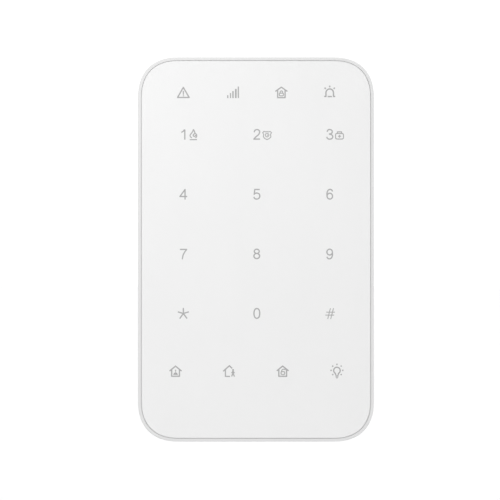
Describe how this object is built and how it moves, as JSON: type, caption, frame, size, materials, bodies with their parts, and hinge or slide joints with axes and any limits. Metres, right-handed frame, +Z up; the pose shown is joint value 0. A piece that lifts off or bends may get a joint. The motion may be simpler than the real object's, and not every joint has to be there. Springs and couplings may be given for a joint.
{
  "type": "alarm keypad panel",
  "caption": "Slim upright wall keypad with a flat touch panel in a white case, hung by hooks on a wall bracket and held by a screw at its bottom edge.",
  "frame": {"origin": "centre of the wall bracket's flat back face, where it lies on the wall", "axes": "+Z up, along the keypad's height; +Y into the wall, so the front faces -Y; +X to the right as seen from the front"},
  "size_m": [0.094, 0.024, 0.153],
  "materials": {
    "bracket_plastic": "moulded white, fine texture",
    "case_plastic": "moulded white, satin",
    "panel_plastic": "white, semi-gloss",
    "foam_adhesive": "matt",
    "touch_film": "clear film with fine traces",
    "baffle_plastic": "matt white",
    "circuit_board": "green solder mask",
    "black_plastic": "matt",
    "grey_plastic": "satin",
    "ivory_plastic": "matt",
    "light_lens": "clear",
    "tinned_steel": "tinned, dull",
    "spring_steel": "drawn wire",
    "contact_metal": "nickel plated",
    "screw_steel": "zinc plated",
    "antenna_wire": "bare copper",
    "cell_wrap": "plain dark wrap"
  },
  "bodies": {
    "wall_bracket": {"wall_bracket": "bracket_plastic"},
    "keypad": {"rear_shell": "case_plastic", "front_shell": "case_plastic", "front_panel": "panel_plastic", "panel_adhesive": "foam_adhesive", "touch_film": "touch_film", "light_baffle": "baffle_plastic", "main_board": "circuit_board", "radio_module": "tinned_steel", "controller_chip": "black_plastic", "sounder": "black_plastic", "antenna": "antenna_wire", "film_connector": "ivory_plastic", "status_light_fault": "light_lens", "status_light_signal": "light_lens", "status_light_armed": "light_lens", "status_light_alarm": "light_lens", "tamper_switch": "black_plastic", "tamper_spring": "spring_steel", "power_switch": "tinned_steel", "enrol_switch": "tinned_steel", "positive_terminal": "contact_metal", "negative_terminal": "contact_metal", "cell_link_left": "contact_metal", "cell_link_upper_right": "contact_metal", "cell_link_lower_right": "contact_metal", "cell_1": "cell_wrap", "cell_spring_1": "contact_metal", "case_screw_1": "screw_steel", "board_screw_1": "screw_steel", "cell_2": "cell_wrap", "cell_spring_2": "contact_metal", "case_screw_2": "screw_steel", "board_screw_2": "screw_steel", "cell_3": "cell_wrap", "cell_spring_3": "contact_metal", "case_screw_3": "screw_steel", "board_screw_3": "screw_steel", "cell_4": "cell_wrap", "cell_spring_4": "contact_metal", "case_screw_4": "screw_steel", "board_screw_4": "screw_steel"},
    "tamper_plunger": {"tamper_plunger": "grey_plastic"},
    "power_switch_knob": {"power_switch_knob": "black_plastic"},
    "enrol_button": {"enrol_button": "black_plastic"},
    "fixing_washer": {"fixing_washer": "screw_steel"},
    "fixing_screw": {"fixing_screw": "screw_steel"}
  },
  "joints": [
    {"name": "keypad_lift", "type": "slide", "parent": "wall_bracket", "child": "keypad", "axis": [0, 0, 1], "range_m": [0, 0.006]},
    {"name": "fixing_screw_travel", "type": "slide", "parent": "wall_bracket", "child": "fixing_washer", "axis": [0, 0, -1], "range_m": [0, 0.0055]},
    {"name": "fixing_screw_turn", "type": "hinge", "parent": "fixing_washer", "child": "fixing_screw", "pos_m": [0, -0.0088, -0.0741], "axis": [0, 0, -1], "range_deg": [0, 1800]},
    {"name": "tamper_plunger_press", "type": "slide", "parent": "keypad", "child": "tamper_plunger", "axis": [0, -1, 0], "range_m": [0, 0.002], "stiffness_N_per_m": 120, "springref_m": -0.001, "deforming": ["tamper_spring"]},
    {"name": "power_switch_slide", "type": "slide", "parent": "keypad", "child": "power_switch_knob", "axis": [1, 0, 0], "range_m": [0, 0.003]},
    {"name": "enrol_button_press", "type": "slide", "parent": "keypad", "child": "enrol_button", "axis": [0, -1, 0], "range_m": [0, 0.0003], "stiffness_N_per_m": 2000, "springref_m": -0.0002}
  ],
  "couplings": [
    {"joint": "fixing_screw_turn", "follows": "fixing_screw_travel", "rad_per_m": 5711.9}
  ]
}
